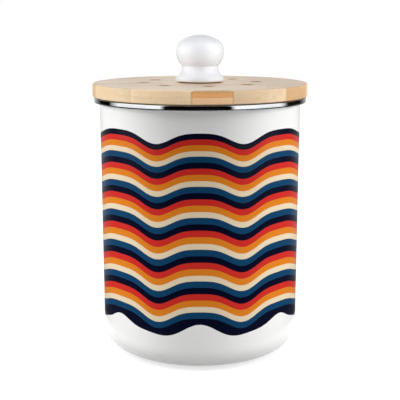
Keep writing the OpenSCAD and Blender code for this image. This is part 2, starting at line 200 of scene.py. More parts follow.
def buildCards(name, outline, shades, strength):
    # Dark and bright cards that only reflections see, as a studio puts round shiny metal:
    # one ring whose brightness goes by azimuth
    material, tree, place = newMaterial(name)
    angle = azimuthAndHeight(tree, place)[0]
    turn = node(tree, "ShaderNodeMath", {0: angle, 1: 1 / math.tau, 2: 0.5}, operation="MULTIPLY_ADD")
    shade = node(tree, "ShaderNodeValToRGB", {0: turn},
                 stops=[(azimuth / 360 + 0.5, value) for azimuth, value in shades])
    glow = node(tree, "ShaderNodeEmission", {"Color": shade, "Strength": strength})
    node(tree, "ShaderNodeOutputMaterial", {"Surface": glow})
    steps, count = studio["ringSteps"], len(outline)
    verts = [ringPlace(360 * i / steps, far, z) for i in range(steps) for far, z in outline]
    faces = []
    for i in range(steps):
        here, there = i * count, (i + 1) % steps * count
        faces += [(here + k, there + k, there + k + 1, here + k + 1) for k in range(count - 1)]
    mesh = bpy.data.meshes.new(name)
    mesh.from_pydata(verts, [], faces)
    cards = addObject(name, mesh, material)
    for ray in ("camera", "diffuse", "shadow", "transmission"):
        setattr(cards, "visible_" + ray, False)


def seenBy(tree, *rays):
    # 1 for what rays of these kinds see, 0 for what lights the object
    path = node(tree, "ShaderNodeLightPath")
    seen = path.outputs[rays[0]]
    for ray in rays[1:]:
        seen = node(tree, "ShaderNodeMath", {0: seen, 1: path.outputs[ray]}, operation="MAXIMUM")
    return seen


def buildFloor():
    # Matt paper: lit by the lamps, with a lift that only camera and mirrors see and that
    # grows to plain white away from the object
    floorPaper, tree, place = newMaterial("whiteFloorPaper")
    paper = node(tree, "ShaderNodeBsdfDiffuse", {"Color": linear(studio["floorColour"])})
    seen = seenBy(tree, "Is Camera Ray", "Is Glossy Ray")
    reach = node(tree, "ShaderNodeVectorMath", {0: place}, operation="LENGTH")
    lift = node(tree, "ShaderNodeMapRange", {"Value": reach}, interpolation_type="SMOOTHSTEP",
                spans={"From": studio["glowReach"], "To": studio["floorGlow"]})
    lift = node(tree, "ShaderNodeMath", {0: seen, 1: lift}, operation="MULTIPLY")
    glow = node(tree, "ShaderNodeEmission", {"Strength": lift})
    both = node(tree, "ShaderNodeAddShader", {0: paper, 1: glow})
    # from below it is clear, so the object's underside can be looked at
    behind = node(tree, "ShaderNodeNewGeometry").outputs["Backfacing"]
    clear = node(tree, "ShaderNodeBsdfTransparent")
    sided = node(tree, "ShaderNodeMixShader", {0: behind, 1: both, 2: clear})
    node(tree, "ShaderNodeOutputMaterial", {"Surface": sided})
    steps = studio["floorSteps"]
    ring = [ringPlace(360 * i / steps, studio["floorRadius"], studio["floorZ"]) for i in range(steps)]
    mesh = bpy.data.meshes.new("floor")
    mesh.from_pydata(ring, [], [tuple(range(steps))])
    floor = addObject("floor", mesh, floorPaper)


def buildWorld():
    # Plain white to the camera, in mirrors and through glass, and a weak light all round
    world = bpy.data.worlds.new("studio")
    bpy.context.scene.world = world
    world.use_nodes = True
    tree = world.node_tree
    tree.nodes.clear()
    seen = seenBy(tree, "Is Camera Ray", "Is Glossy Ray", "Is Transmission Ray")
    ambient, plain = [node(tree, "ShaderNodeBackground", {"Color": (1, 1, 1, 1), "Strength": strength})
                      for strength in (studio["ambient"], 1.0)]
    mixed = node(tree, "ShaderNodeMixShader", {0: seen, 1: ambient, 2: plain})
    node(tree, "ShaderNodeOutputWorld", {"Surface": mixed})


def buildStudio():
    bpy.context.scene.view_settings.view_transform = "Standard"
    buildFloor()
    buildCards("studioCards", studio["cardRing"], studio["cardShades"], studio["cardStrength"])
    buildCards("darkTable", studio["tableRing"], studio["tableShades"], studio["tableStrength"])
    for name, values in studio["lamps"].items():
        buildLamp(name, *values)
    buildWorld()


buildCamera()
buildStudio()
print("studio built")


# Finishes

def cloudedColour(tree, place, size, shades, low=0.3, detail=2.0):
    # Two shades that drift into each other in patches of this size
    cloud = node(tree, "ShaderNodeTexNoise", {"Vector": place, "Scale": 1 / size, "Detail": detail})
    return node(tree, "ShaderNodeValToRGB", {0: cloud}, stops=((low, shades[0]), (1 - low, shades[1])))


def tintOver(tree, colour, mask, share, tint):
    # Mixes this share of a tint over a colour where the mask is 1: real stains, and on the
    # wood's flat faces a painted sheen
    amount = node(tree, "ShaderNodeMath", {0: mask, 1: share}, operation="MULTIPLY")
    return node(tree, "ShaderNodeMix", {0: amount, 6: colour, 7: linear(tint)}, data_type="RGBA")


def stretchedNoise(tree, place, sizes, inputs):
    # Noise whose patches have these sizes along X, Y and Z
    spread = node(tree, "ShaderNodeVectorMath", {0: place, 1: tuple(1 / size for size in sizes)},
                  operation="MULTIPLY")
    return node(tree, "ShaderNodeTexNoise", {"Vector": spread, "Scale": 1.0, **inputs})


def noiseRelief(tree, place, size, depth, detail):
    # A fine unevenness whose patches have this size
    grain = node(tree, "ShaderNodeTexNoise", {"Vector": place, "Scale": 1 / size, "Detail": detail})
    return node(tree, "ShaderNodeBump", {"Height": grain, "Distance": depth})


def roundedRim(tree, place, name, bottomRound, topRound):
    # The true normal of a solid with a turned, rounded rim, which points away from its
    # core: the disc that the rounds are struck from. Elsewhere it is the mesh's own normal
    low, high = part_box(name)
    over = node(tree, "ShaderNodeMath", {0: distanceOut(tree, place), 1: high.x - topRound},
                operation="SUBTRACT")
    over = node(tree, "ShaderNodeMath", {0: over, 1: 0.0}, operation="MAXIMUM")
    outward = node(tree, "ShaderNodeVectorMath", {0: place, 1: (1, 1, 0)}, operation="MULTIPLY")
    outward = node(tree, "ShaderNodeVectorMath", {0: outward}, operation="NORMALIZE")
    outward = node(tree, "ShaderNodeVectorMath", {0: outward, "Scale": over}, operation="SCALE")
    z = node(tree, "ShaderNodeSeparateXYZ", {0: place}).outputs["Z"]
    coreZ = node(tree, "ShaderNodeClamp", {"Value": z, "Min": low.z + bottomRound,
                 "Max": high.z - topRound})
    upward = node(tree, "ShaderNodeMath", {0: z, 1: coreZ}, operation="SUBTRACT")
    upward = node(tree, "ShaderNodeCombineXYZ", {"Z": upward})
    exact = node(tree, "ShaderNodeVectorMath", {0: outward, 1: upward}, operation="ADD")
    exact = node(tree, "ShaderNodeVectorMath", {0: exact}, operation="NORMALIZE")
    given = node(tree, "ShaderNodeNewGeometry").outputs["Normal"]
    match = node(tree, "ShaderNodeVectorMath", {0: exact, 1: given}, operation="DOT_PRODUCT")
    leastMatch = 0.7  # the two normals lie within about 45 degrees of each other
    match = node(tree, "ShaderNodeMath", {0: match, 1: leastMatch}, operation="GREATER_THAN")
    return node(tree, "ShaderNodeMix", {0: match, 4: given, 5: exact}, data_type="VECTOR")


enamel = {
    "shades": ("#E0E0DF", "#E3E3E2"), "cloudSize": 40 * mm,
    "roughness": 0.16, "ior": 1.5, "specular": 0.35,
    "peelSize": 7 * mm, "peelDepth": 0.02 * mm,
    # two heights on the can's wall, its outer radius there and half its thickness, which
    # tell the outside from the inside
    "wallZ": (18.6 * mm, 194.9 * mm), "outerRadius": (76.2 * mm, 77.05 * mm),
    "wallHalf": 0.55 * mm,
}

wavePrint = {
    "topZ": 173.9 * mm, "length": 140.1 * mm,
    # depth below the top edge at which each run of five colours starts, in mm, how many
    # runs there are to the end, and the gap that keeps the end inside the last run
    "runStarts": (0, 20.59, 42.42, 65.07, 88.57, 112.14, 135.45),
    "endRuns": 6.2, "endGap": 0.005,
    # waves round the can, and how they draw together at the front: multiple and amount
    "wavesRound": 6.0, "squeezes": ((2.0, 1.04), (4.0, -0.18)),
    # height of a wave and of the finer one that shapes it, and how much they grow downwards
    "crest": 4.1 * mm, "sharpen": -0.82 * mm, "swell": 0.13,
    # the last band ends in shorter waves of its own, five half waves to each side of the
    # front and of the back, with the low level of the fifth held across the sides
    "hemWaves": 14.0, "hemHalves": 5, "hemDip": 2.0 * mm,
    "bands": ((0.0, "#03061E"), (0.2, "#BE261F"), (0.404, "#CD7618"), (0.611, "#D6C5A8"),
              (0.79, "#083A5D")),
    "roughness": 0.24, "thickness": 0.03 * mm,
}


def printWave(tree, angle):
    # How far the bands go up and down round the can: waves a little closer together at
    # the front, with their crests and hollows shaped by a finer one
    turned = node(tree, "ShaderNodeMath", {0: angle, 1: wavePrint["wavesRound"]}, operation="MULTIPLY")
    for multiple, amount in wavePrint["squeezes"]:
        part = node(tree, "ShaderNodeMath", {0: angle, 1: multiple}, operation="MULTIPLY")
        part = node(tree, "ShaderNodeMath", {0: part}, operation="SINE")
        turned = node(tree, "ShaderNodeMath", {0: part, 1: amount, 2: turned}, operation="MULTIPLY_ADD")
    broad = node(tree, "ShaderNodeMath", {0: turned}, operation="COSINE")
    fine = node(tree, "ShaderNodeMath", {0: turned, 1: 2.0}, operation="MULTIPLY")
    fine = node(tree, "ShaderNodeMath", {0: fine}, operation="COSINE")
    fine = node(tree, "ShaderNodeMath", {0: fine, 1: wavePrint["sharpen"]}, operation="MULTIPLY")
    return node(tree, "ShaderNodeMath", {0: broad, 1: wavePrint["crest"], 2: fine},
                operation="MULTIPLY_ADD")


def printBands(tree, angle, z):
    # Depth below the wavy top edge, as a share of the print's length, and the colour there
    length, endRuns = wavePrint["length"], wavePrint["endRuns"]
    below = node(tree, "ShaderNodeMath", {0: wavePrint["topZ"], 1: z}, operation="SUBTRACT")
    swell = node(tree, "ShaderNodeMath", {0: below, 1: wavePrint["swell"] / length, 2: 1.0},
                 operation="MULTIPLY_ADD")
    depth = node(tree, "ShaderNodeMath", {0: printWave(tree, angle), 1: swell, 2: below},
                 operation="MULTIPLY_ADD")
    share = node(tree, "ShaderNodeMath", {0: depth, 1: length}, operation="DIVIDE")
    ends = [(start * mm / length, i / endRuns) for i, start in enumerate(wavePrint["runStarts"])]
    runs = node(tree, "ShaderNodeFloatCurve", {"Value": share}, points=ends + [(1, 1)])
    runs = node(tree, "ShaderNodeMath", {0: runs, 1: endRuns}, operation="MULTIPLY")
    runs = node(tree, "ShaderNodeMath", {0: runs, 1: endRuns - wavePrint["endGap"]}, operation="MINIMUM")
    within = node(tree, "ShaderNodeMath", {0: runs}, operation="FRACT")
    colours = node(tree, "ShaderNodeValToRGB", {0: within}, stops=wavePrint["bands"])
    colours.color_ramp.interpolation = "CONSTANT"
    return share, colours


def printHem(tree, angle):
    # The share of the print's length at which the last band ends
    levelFrom = wavePrint["hemHalves"] * math.pi / wavePrint["hemWaves"]
    dip = wavePrint["hemDip"] / wavePrint["length"]
    hem = node(tree, "ShaderNodeMath", {0: angle, 1: math.pi / 2}, operation="PINGPONG")
    hem = node(tree, "ShaderNodeMath", {0: hem, 1: levelFrom}, operation="MINIMUM")
    hem = node(tree, "ShaderNodeMath", {0: hem, 1: wavePrint["hemWaves"]}, operation="MULTIPLY")
    hem = node(tree, "ShaderNodeMath", {0: hem}, operation="COSINE")
    return node(tree, "ShaderNodeMath", {0: hem, 1: -dip, 2: 1 + dip}, operation="MULTIPLY_ADD")


def printMask(tree, share, angle, reach, z):
    # 1 on the decal: only on the outside of the wall, and between its two edges
    middles = [radius - enamel["wallHalf"] for radius in enamel["outerRadius"]]
    middle = node(tree, "ShaderNodeMapRange", {"Value": z},
                  spans={"From": enamel["wallZ"], "To": middles})
    outside = node(tree, "ShaderNodeMath", {0: reach, 1: middle}, operation="GREATER_THAN")
    started = node(tree, "ShaderNodeMath", {0: share, 1: 0.0}, operation="GREATER_THAN")
    unended = node(tree, "ShaderNodeMath", {0: share, 1: printHem(tree, angle)}, operation="LESS_THAN")
    mask = node(tree, "ShaderNodeMath", {0: started, 1: unended}, operation="MULTIPLY")
    return node(tree, "ShaderNodeMath", {0: mask, 1: outside}, operation="MULTIPLY")


def makeEnamel():
    # Vitreous enamel, fired on steel, with a fired ceramic decal: glassy and evenly white,
    # a soft ripple in its reflections, and opaque colours that stand a hair proud
    material, tree, place = newMaterial("vitreousEnamelDecal")
    angle, z = azimuthAndHeight(tree, place)
    reach = distanceOut(tree, place)
    share, colours = printBands(tree, angle, z)
    mask = printMask(tree, share, angle, reach, z)
    glaze = cloudedColour(tree, place, enamel["cloudSize"], enamel["shades"])
    colour = node(tree, "ShaderNodeMix", {0: mask, 6: glaze, 7: colours}, data_type="RGBA")
    gloss = node(tree, "ShaderNodeMapRange", {"Value": mask},
                 spans={"To": (enamel["roughness"], wavePrint["roughness"])})
    ripple = noiseRelief(tree, place, enamel["peelSize"], enamel["peelDepth"], 1.0)
    step = node(tree, "ShaderNodeBump", {"Height": mask, "Distance": wavePrint["thickness"],
                "Normal": ripple})
    return shadeSurface(material, tree, {"Base Color": colour, "Roughness": gloss, "IOR": enamel["ior"],
                        "Specular IOR Level": enamel["specular"], "Normal": step})


steel = {
    "colour": "#DADCDE", "seamColour": "#4A4B4C", "roughness": (0.05, 0.1),
    # polishing lines: length as an angle, width and depth. Real ones are finer, and these
    # are as coarse as it takes to show
    "lineTurn": 1 / 3, "lineSize": 0.5 * mm, "lineDepth": 0.002 * mm,
    "smearSize": 18 * mm, "smearRange": (0.35, 0.65),
    # half the seam's width, and its depth in line depths
    "seamHalf": 0.3 * mm, "seamDrop": 8.0,
    "rounds": (1.2 * mm, 1.2 * mm),  # of its lower and upper edge
}


def makePolishedSteel():
    # Stainless strip, rolled round the lip and polished: mirror-bright, with faint lines
    # round the rim and a butt seam at the back
    material, tree, place = newMaterial("polishedStainlessStrip")
    angle, z = azimuthAndHeight(tree, place)
    reach = distanceOut(tree, place)
    wrapped = node(tree, "ShaderNodeCombineXYZ", {"X": angle, "Y": z, "Z": reach})
    lines = stretchedNoise(tree, wrapped, (steel["lineTurn"], steel["lineSize"], steel["lineSize"]),
                           {"Detail": 3.0})
    smear = node(tree, "ShaderNodeTexNoise", {"Vector": place, "Scale": 1 / steel["smearSize"],
                 "Detail": 3.0})
    gloss = node(tree, "ShaderNodeMapRange", {"Value": smear},
                 spans={"From": steel["smearRange"], "To": steel["roughness"]})
    seamTurn = steel["seamHalf"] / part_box("rim_band")[1].x
    away = node(tree, "ShaderNodeMath", {0: angle}, operation="ABSOLUTE")
    seam = node(tree, "ShaderNodeMath", {0: away, 1: math.pi - seamTurn}, operation="GREATER_THAN")
    height = node(tree, "ShaderNodeMath", {0: seam, 1: -steel["seamDrop"], 2: lines},
                  operation="MULTIPLY_ADD")
    colour = node(tree, "ShaderNodeMix", {0: seam, 6: linear(steel["colour"]),
                  7: linear(steel["seamColour"])}, data_type="RGBA")
    rim = roundedRim(tree, place, "rim_band", *steel["rounds"])
    bump = node(tree, "ShaderNodeBump", {"Height": height, "Distance": steel["lineDepth"], "Normal": rim})
    return shadeSurface(material, tree, {"Base Color": colour, "Metallic": 1.0, "Roughness": gloss,
                        "Normal": bump})


wood = {
    "grainTurn": -6.0,
    "staveWidth": 20.3 * mm, "blockLength": 140 * mm,
    # how the blocks are shifted from stave to stave, and their tones dealt out
    "rowShift": 0.7548, "shiftFrom": 0.962,
    "toneRow": 0.27, "toneBlock": 0.31, "toneFrom": 0.31,
    "underPly": 0.045,
    "tones": ((0.05, "#E9BF94"), (0.2, "#EED2AD"), (0.48, "#D5BE9A"), (0.56, "#DABF9E"),
              (0.8, "#C3A077"), (0.935, "#C29B6E"), (0.955, "#E1A267"), (1.0, "#E4A468")),
    # sizes along, across and down the grain. Pores are 0.1 mm wide in the real wood and
    # drawn at 0.35 mm
    "streakSize": (45 * mm, 2.6 * mm, 2.6 * mm), "growthSize": (160 * mm, 9 * mm, 9 * mm),
    "poreSize": (4 * mm, 0.35 * mm, 0.35 * mm), "poreRange": (0.66, 0.74),
    "blockJump": (3.7, 5.3, 7.1), "streakTone": 0.32,
    "poreColour": "#9C6F43", "poreShare": 0.55,
    # painted sheen: the flat top and underside are painted paler and greyer than the edges,
    # for the reflection of the pale surroundings. It starts where the upward part of the
    # normal is in this range
    "paintedSheenColour": "#C3B3A0", "paintedSheenShare": 0.55, "paintedSheenRange": (0.7, 0.95),
    # the drilled walls of the vents are end grain, browned by the drill and the oil: they
    # are upright and nearer to the middle than this
    "boreColour": "#CC8848", "boreShare": 0.6, "boreReach": 55 * mm, "uprightBelow": 0.3,
    "glueHalf": 0.12 * mm, "plyGlueHalf": 0.072 * mm, "glueColour": "#B4885A", "glueShare": 0.4,
    "roughness": (0.28, 0.4), "glossRange": (0.3, 0.7), "ior": 1.47, "relief": 0.03 * mm,
    "rounds": (0.8 * mm, 1.2 * mm),  # of its lower and upper edge
}


def woodStaves(tree, along, across):
    # Place across the staves and along the blocks, counted in staves and in blocks, and
    # the whole numbers of the stave and the block
    rowPlace = node(tree, "ShaderNodeMath", {0: across, 1: wood["staveWidth"]}, operation="DIVIDE")
    row = node(tree, "ShaderNodeMath", {0: rowPlace}, operation="FLOOR")
    shift = node(tree, "ShaderNodeMath", {0: row, 1: wood["rowShift"], 2: wood["shiftFrom"]},
                 operation="MULTIPLY_ADD")
    shift = node(tree, "ShaderNodeMath", {0: shift}, operation="FRACT")
    blockPlace = node(tree, "ShaderNodeMath", {0: along, 1: 1 / wood["blockLength"], 2: shift},
                      operation="MULTIPLY_ADD")
    block = node(tree, "ShaderNodeMath", {0: blockPlace}, operation="FLOOR")
    return rowPlace, blockPlace, row, block


def woodTone(tree, row, block, lower):
    # The tone of a block from 0 to 1, a step further on in the lower layer
    tone = node(tree, "ShaderNodeMath", {0: row, 1: wood["toneRow"], 2: wood["toneFrom"]},
                operation="MULTIPLY_ADD")
    tone = node(tree, "ShaderNodeMath", {0: block, 1: wood["toneBlock"], 2: tone},
                operation="MULTIPLY_ADD")
    tone = node(tree, "ShaderNodeMath", {0: tone}, operation="FRACT")
    under = node(tree, "ShaderNodeMath", {0: tone, 1: wood["underPly"]}, operation="ADD")
    under = node(tree, "ShaderNodeMath", {0: under}, operation="FRACT")
    return node(tree, "ShaderNodeMix", {0: lower, 2: tone, 3: under}, data_type="FLOAT")


def woodGlue(tree, rowPlace, blockPlace, up, plyZ):
    # 1 on the glue lines between layers, staves and blocks
    glue = node(tree, "ShaderNodeMath", {0: up, 1: plyZ, 2: wood["plyGlueHalf"]}, operation="COMPARE")
    for place, size in ((rowPlace, wood["staveWidth"]), (blockPlace, wood["blockLength"])):
        near = node(tree, "ShaderNodeMath", {0: place, 1: 0.5}, operation="ADD")
        near = node(tree, "ShaderNodeMath", {0: near}, operation="FRACT")
        near = node(tree, "ShaderNodeMath", {0: near, 1: 0.5, 2: wood["glueHalf"] / size},
                    operation="COMPARE")
        glue = node(tree, "ShaderNodeMath", {0: glue, 1: near}, operation="MAXIMUM")
    return glue


def woodFaces(tree, place, rim, colour):
    # The colour of the faces, the edges and the drilled walls, which their normals tell apart:
    # the faces get a painted sheen, the drilled walls the brown of end grain
    facing = node(tree, "ShaderNodeSeparateXYZ", {0: rim}).outputs["Z"]
    facing = node(tree, "ShaderNodeMath", {0: facing}, operation="ABSOLUTE")
    sheenMask = node(tree, "ShaderNodeMapRange", {"Value": facing}, spans={"From": wood["paintedSheenRange"]})
    # painted sheen: the flat faces are painted paler and greyer, for the reflection of the pale
    # surroundings
    colour = tintOver(tree, colour, sheenMask, wood["paintedSheenShare"], wood["paintedSheenColour"])
    upright = node(tree, "ShaderNodeMath", {0: facing, 1: wood["uprightBelow"]}, operation="LESS_THAN")
    reach = distanceOut(tree, place)
    inner = node(tree, "ShaderNodeMath", {0: reach, 1: wood["boreReach"]}, operation="LESS_THAN")
    drilled = node(tree, "ShaderNodeMath", {0: inner, 1: upright}, operation="MULTIPLY")
    return tintOver(tree, colour, drilled, wood["boreShare"], wood["boreColour"])


def makeWood():
    # Plantation hardwood, glued up from short staves in two layers, sanded and oiled:
    # blocks of different tone, straight pores as brown dashes, a silky low sheen, and a
    # painted sheen that makes the flat faces paler and greyer
    material, tree, place = newMaterial("laminatedHardwoodOiled")
    turned = node(tree, "ShaderNodeMapping", {"Vector": place,
                  "Rotation": (0, 0, math.radians(wood["grainTurn"]))}, vector_type="POINT")
    along, across, up = node(tree, "ShaderNodeSeparateXYZ", {0: turned}).outputs
    low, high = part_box("lid_board")
    plyZ = (low.z + high.z) / 2
    lower = node(tree, "ShaderNodeMath", {0: up, 1: plyZ}, operation="LESS_THAN")
    rowPlace, blockPlace, row, block = woodStaves(tree, along, across)
    glue = woodGlue(tree, rowPlace, blockPlace, up, plyZ)

    # grain: each block takes its own piece of the pattern
    own = node(tree, "ShaderNodeCombineXYZ", {"X": block, "Y": row, "Z": lower})
    own = node(tree, "ShaderNodeVectorMath", {0: own, 1: wood["blockJump"], 2: turned},
               operation="MULTIPLY_ADD")
    streak = stretchedNoise(tree, own, wood["streakSize"], {"Detail": 5.0, "Roughness": 0.6,
                            "Distortion": 0.4})
    growth = stretchedNoise(tree, own, wood["growthSize"], {"Detail": 2.0})
    pore = stretchedNoise(tree, own, wood["poreSize"], {"Detail": 1.0})
    pore = node(tree, "ShaderNodeMapRange", {"Value": pore}, spans={"From": wood["poreRange"]})

    # tone of the block, pushed lighter and darker by the streaks
    shade = node(tree, "ShaderNodeMath", {0: streak, 1: growth}, operation="ADD")
    shade = node(tree, "ShaderNodeMath", {0: shade, 1: wood["streakTone"], 2: -wood["streakTone"]},
                 operation="MULTIPLY_ADD")
    toned = node(tree, "ShaderNodeMath", {0: woodTone(tree, row, block, lower), 1: shade},
                 operation="ADD", use_clamp=True)
    colour = node(tree, "ShaderNodeValToRGB", {0: toned}, stops=wood["tones"])
    rim = roundedRim(tree, place, "lid_board", *wood["rounds"])
    # the flat faces get a painted sheen, the drilled walls their brown
    colour = woodFaces(tree, place, rim, colour)
    colour = tintOver(tree, colour, pore, wood["poreShare"], wood["poreColour"])
    colour = tintOver(tree, colour, glue, wood["glueShare"], wood["glueColour"])

    gloss = node(tree, "ShaderNodeMapRange", {"Value": streak},
                 spans={"From": wood["glossRange"], "To": wood["roughness"]})
    height = node(tree, "ShaderNodeMath", {0: streak, 1: pore}, operation="SUBTRACT")
    height = node(tree, "ShaderNodeMath", {0: height, 1: glue}, operation="SUBTRACT")
    bump = node(tree, "ShaderNodeBump", {"Height": height, "Distance": wood["relief"], "Normal": rim})
    return shadeSurface(material, tree, {"Base Color": colour, "Roughness": gloss, "IOR": wood["ior"],
                        "Normal": bump})


ceramic = {
    "shades": ("#CBCDD1", "#CFD1D5"), "cloudSize": 14 * mm,
    "rippleSize": 9 * mm, "rippleDepth": 0.05 * mm,
    # the foot without glaze, and its wandering edge
    "bisque": "#D9CDBD", "footHeight": 0.45 * mm, "edgeSize": 6 * mm, "edgeWander": 0.5 * mm,
    "roughness": 0.13, "bisqueRoughness": 0.8, "ior": 1.52, "specular": 0.4,
    "subsurface": 0.3, "subsurfaceRadius": (1.0, 0.95, 0.9), "subsurfaceScale": 4 * mm,
}


def makeCeramic():
    # Slip-cast porcelain, dipped in clear glaze: wet-looking white with slow ripples, and
    # a foot wiped clean of glaze, so matt and a little darker
    material, tree, place = newMaterial("glazedPorcelain")
    z = node(tree, "ShaderNodeSeparateXYZ", {0: place}).outputs["Z"]
    wander = node(tree, "ShaderNodeTexNoise", {"Vector": place, "Scale": 1 / ceramic["edgeSize"],
                  "Detail": 2.0})
    edge = node(tree, "ShaderNodeMath", {0: wander, 1: ceramic["edgeWander"], 2: z},
                operation="MULTIPLY_ADD")
    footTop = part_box("knob")[0].z + ceramic["footHeight"]
    bare = node(tree, "ShaderNodeMath", {0: edge, 1: footTop}, operation="LESS_THAN")
    glaze = cloudedColour(tree, place, ceramic["cloudSize"], ceramic["shades"])
    colour = tintOver(tree, glaze, bare, 1.0, ceramic["bisque"])
    gloss = node(tree, "ShaderNodeMapRange", {"Value": bare},
                 spans={"To": (ceramic["roughness"], ceramic["bisqueRoughness"])})
    ripple = noiseRelief(tree, place, ceramic["rippleSize"], ceramic["rippleDepth"], 1.0)
    return shadeSurface(material, tree, {"Base Color": colour, "Roughness": gloss, "IOR": ceramic["ior"],
                        "Specular IOR Level": ceramic["specular"],
                        "Subsurface Weight": ceramic["subsurface"],
                        "Subsurface Radius": ceramic["subsurfaceRadius"],
                        "Subsurface Scale": ceramic["subsurfaceScale"], "Normal": ripple})


metals = {
    # two shades, roughness, width and depth of the lathe's rings, size of the film's patches
    "turnedBrass": (("#B98F48", "#D3AC66"), (0.2, 0.34), 0.35 * mm, 0.006 * mm, 5 * mm),
    "zincPlatedSteel": (("#B4B9C2", "#D2D2CC"), (0.22, 0.36), 0.3 * mm, 0.005 * mm, 4 * mm),
}


def makeMetal(name, shades, roughness, lineSize, lineDepth, patchSize):
    # Turned or plated small metal: fine rings from the lathe round Z, and a patchy film
    material, tree, place = newMaterial(name)
    colour = cloudedColour(tree, place, patchSize, shades, low=0.35, detail=3.0)
    lineShare = 0.15  # width of a ring as a share of its length
    lineLength = lineSize / lineShare
    lines = stretchedNoise(tree, place, (lineLength, lineLength, lineSize), {"Detail": 3.0})
    gloss = node(tree, "ShaderNodeMapRange", {"Value": lines},
                 spans={"From": (0.3, 0.7), "To": roughness})
    bump = node(tree, "ShaderNodeBump", {"Height": lines, "Distance": lineDepth})
    return shadeSurface(material, tree, {"Base Color": colour, "Metallic": 1.0, "Roughness": gloss,
                        "Normal": bump})


moulded = {
    # two shades, roughness, width and depth of the mould's grain, IOR, and how far light
    # gets in, if it does: amount, share of each colour and depth
    "mouldedBrownRubber": (("#5F4332", "#6E4F3C"), (0.6, 0.72), 0.4 * mm, 0.015 * mm, 1.52),
    "mouldedPolypropylene": (("#DEDBD2", "#E7E4DC"), (0.36, 0.46), 0.45 * mm, 0.012 * mm, 1.49,
                             0.12, (1.0, 0.95, 0.85), 1.5 * mm),
    "mouldedSilicone": (("#D9D9D4", "#E3E3DF"), (0.34, 0.5), 0.6 * mm, 0.008 * mm, 1.41,
                        0.45, (1.0, 1.0, 1.0), 2.5 * mm),
    "mouldedFoamRubber": (("#1E1E20", "#29292B"), (0.7, 0.85), 0.5 * mm, 0.06 * mm, 1.5),
}


def makeMoulded(name, shades, roughness, grainSize, grainDepth, ior, *light):
    # Moulded plastic or rubber: an even colour with slow flow marks, and the fine grain
    # of the spark-eroded mould
    material, tree, place = newMaterial(name)
    flowSize = 25 * mm
    flow = node(tree, "ShaderNodeTexNoise", {"Vector": place, "Scale": 1 / flowSize, "Detail": 2.0,
                "Distortion": 0.6})
    colour = node(tree, "ShaderNodeValToRGB", {0: flow}, stops=((0.3, shades[0]), (0.7, shades[1])))
    gloss = node(tree, "ShaderNodeMapRange", {"Value": flow}, spans={"From": (0.3, 0.7), "To": roughness})
    bump = noiseRelief(tree, place, grainSize, grainDepth, 2.0)
    lightInputs = zip(("Subsurface Weight", "Subsurface Radius", "Subsurface Scale"), light)
    return shadeSurface(material, tree, {"Base Color": colour, "Roughness": gloss, "IOR": ior,
                        "Normal": bump, **dict(lightInputs)})


felt = {
    "shades": ((0.45, "#131315"), (0.72, "#37373B")),
    # length and width of a fibre, and how the tangle bends: by how much and how often
    "fibreSize": (0.35 * mm / 0.12, 0.35 * mm), "bend": 4 * mm, "bendSize": 2.5 * mm,
    # grains of carbon: cell size, share of the cells without one, and reach in a cell
    "speck": "#5C5D62", "speckSize": 0.8 * mm, "speckless": 0.9, "speckReach": 0.32,
    "roughness": 0.95, "speckRoughness": 0.35, "relief": 0.12 * mm,
    "sheen": 0.35, "sheenRoughness": 0.5,
}


def makeFelt():
    # Polyester felt, needled and loaded with charcoal: matt black-grey fuzz without a
    # highlight, tangled fibres, and grains of carbon that catch the light
    material, tree, place = newMaterial("needledCharcoalFelt")
    bent = node(tree, "ShaderNodeTexNoise", {"Vector": place, "Scale": 1 / felt["bendSize"],
                "Detail": 2.0}).outputs["Color"]
    bent = node(tree, "ShaderNodeVectorMath", {0: bent, 1: (felt["bend"],) * 3, 2: place},
                operation="MULTIPLY_ADD")
    long, wide = felt["fibreSize"]
    tangles = [stretchedNoise(tree, bent, sizes, {"Detail": 2.0})
               for sizes in ((wide, long, wide), (long, wide, wide))]
    tangle = node(tree, "ShaderNodeMath", {0: tangles[0], 1: tangles[1]}, operation="MAXIMUM")
    colour = node(tree, "ShaderNodeValToRGB", {0: tangle}, stops=felt["shades"])
    grains = node(tree, "ShaderNodeTexVoronoi", {"Vector": place, "Scale": 1 / felt["speckSize"]})
    chosen = node(tree, "ShaderNodeSeparateColor", {0: grains.outputs["Color"]})
    rare = node(tree, "ShaderNodeMath", {0: chosen, 1: felt["speckless"]}, operation="GREATER_THAN")
    near = node(tree, "ShaderNodeMath", {0: grains.outputs["Distance"], 1: felt["speckReach"]},
                operation="LESS_THAN")
    speck = node(tree, "ShaderNodeMath", {0: rare, 1: near}, operation="MULTIPLY")
    colour = tintOver(tree, colour, speck, 1.0, felt["speck"])
    gloss = node(tree, "ShaderNodeMapRange", {"Value": speck},
                 spans={"To": (felt["roughness"], felt["speckRoughness"])})
    bump = node(tree, "ShaderNodeBump", {"Height": tangle, "Distance": felt["relief"]})
    return shadeSurface(material, tree, {"Base Color": colour, "Roughness": gloss, "Normal": bump,
                        "Sheen Weight": felt["sheen"], "Sheen Roughness": felt["sheenRoughness"]})


def dressSolids():
    made = {name: makeMetal(name, *values) for name, values in metals.items()}
    made.update({name: makeMoulded(name, *values) for name, values in moulded.items()})
    zinc, polypropylene = made["zincPlatedSteel"], made["mouldedPolypropylene"]
    finishes = {
        "canister_shell": makeEnamel(), "rim_band": makePolishedSteel(),
        "base_pad": made["mouldedFoamRubber"], "lid_board": makeWood(), "knob": makeCeramic(),
        "knob_insert": made["turnedBrass"], "knob_gasket": made["mouldedBrownRubber"],
        "knob_bolt": zinc, "knob_washer": zinc, "housing_screws": zinc,
        "filter_housing": polypropylene, "filter_cover": polypropylene,
        "lid_seal": made["mouldedSilicone"],
    }
    for name, material in finishes.items():
        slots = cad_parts[name].data.materials
        slots.clear()
        slots.append(material)
    return finishes


finishes = dressSolids()
print("finishes made:", len(set(finishes.values())))


# What the small pieces share: trees of Geometry Nodes

